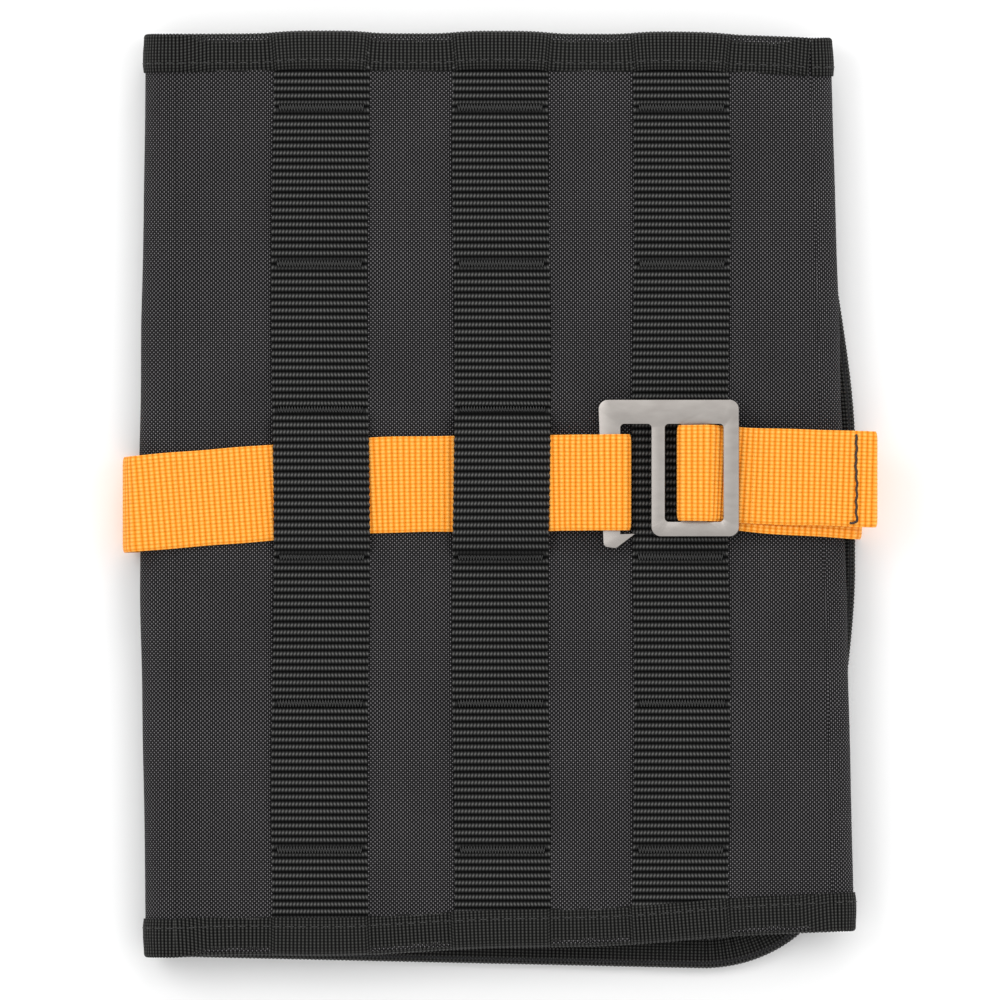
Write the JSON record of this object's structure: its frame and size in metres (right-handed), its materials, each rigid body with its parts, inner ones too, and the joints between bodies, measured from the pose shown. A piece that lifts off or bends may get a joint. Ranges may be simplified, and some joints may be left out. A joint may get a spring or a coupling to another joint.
{
  "type": "padded gear wrap",
  "caption": "Padded gear wrap folded in three like a letter, with ladder webbing on the front and a strap closed by a flat metal hook.",
  "frame": {"origin": "middle of the footprint, on the underside of the strap that runs across the back", "axes": "+X to the right across the front, +Y up the front along the folds, +Z out of the front"},
  "size_m": [0.196, 0.244, 0.0253],
  "materials": {
    "face_fabric": "black oxford weave, matt with a low sheen",
    "lining": "plain black nylon lining",
    "foam": "closed-cell foam",
    "binding_tape": "ribbed black binding tape",
    "ladder_webbing": "ribbed black webbing",
    "thread": "black polyester thread",
    "strap_webbing": "ribbed orange webbing",
    "hook_metal": "satin, stamped, with bright edges"
  },
  "bodies": {
    "centre": {"centre_outer_fabric": "face_fabric", "centre_foam": "foam", "centre_lining": "lining", "centre_top_binding": "binding_tape", "centre_bottom_binding": "binding_tape", "centre_pocket": "lining", "centre_pocket_hem": "binding_tape", "ladder_webbing_left": "ladder_webbing", "ladder_webbing_middle": "ladder_webbing", "ladder_webbing_right": "ladder_webbing", "ladder_bartacks_left": "thread", "ladder_bartacks_middle": "thread", "ladder_bartacks_right": "thread", "left_fold_fabric": "face_fabric", "left_fold_lining": "lining", "left_fold_top_binding": "binding_tape", "left_fold_bottom_binding": "binding_tape", "right_fold_fabric": "face_fabric", "right_fold_lining": "lining", "right_fold_top_binding": "binding_tape", "right_fold_bottom_binding": "binding_tape", "strap_front_run": "strap_webbing", "strap_end_loop": "strap_webbing", "strap_loop_bartack": "thread", "strap_left_turn": "strap_webbing"},
    "outer_wing": {"outer_wing_fabric": "face_fabric", "outer_wing_foam": "foam", "outer_wing_lining": "lining", "outer_wing_edge_binding": "binding_tape", "strap_back_run": "strap_webbing"},
    "inner_wing": {"inner_wing_fabric": "face_fabric", "inner_wing_foam": "foam", "inner_wing_lining": "lining", "inner_wing_edge_binding": "binding_tape", "inner_wing_pocket": "lining", "inner_wing_pocket_hem": "binding_tape"},
    "strap_end": {"strap_right_turn": "strap_webbing", "strap_lower_layer": "strap_webbing", "strap_slider_loop": "strap_webbing"},
    "strap_tail": {"strap_tail": "strap_webbing", "tail_hem_stitch": "thread"},
    "g_hook": {"g_hook": "hook_metal"}
  },
  "joints": [
    {"name": "outer_wing_fold", "type": "hinge", "parent": "centre", "child": "outer_wing", "pos_m": [-0.0846, 0, 0.00955], "axis": [0, 1, 0], "range_deg": [0, 178], "deforming": ["left_fold_fabric", "left_fold_lining", "left_fold_top_binding", "left_fold_bottom_binding", "strap_left_turn"]},
    {"name": "inner_wing_fold", "type": "hinge", "parent": "centre", "child": "inner_wing", "pos_m": [0.0847, 0, 0.0122], "axis": [0.0267, -0.9996, 0], "range_deg": [0, 178], "deforming": ["right_fold_fabric", "right_fold_lining", "right_fold_top_binding", "right_fold_bottom_binding"]},
    {"name": "strap_end_swing", "type": "hinge", "parent": "outer_wing", "child": "strap_end", "pos_m": [0.09385, 0.0034, 0.01025], "axis": [0, 1, 0], "range_deg": [0, 178], "deforming": ["strap_right_turn", "strap_lower_layer", "strap_slider_loop"]},
    {"name": "tail_flap", "type": "hinge", "parent": "strap_end", "child": "strap_tail", "pos_m": [0.066, 0.00705, 0.0219], "axis": [0, -1, 0], "range_deg": [0, 120], "deforming": ["strap_tail", "tail_hem_stitch"]},
    {"name": "hook_swing", "type": "hinge", "parent": "centre", "child": "g_hook", "pos_m": [0.02875, 0.0043, 0.02], "axis": [0, -1, 0], "range_deg": [0, 45], "deforming": ["strap_end_loop"]}
  ],
  "couplings": [
    {"joint": "inner_wing_fold", "follows": "outer_wing_fold", "ratio": 1},
    {"joint": "hook_swing", "follows": "strap_end_swing", "ratio": 0.25}
  ]
}
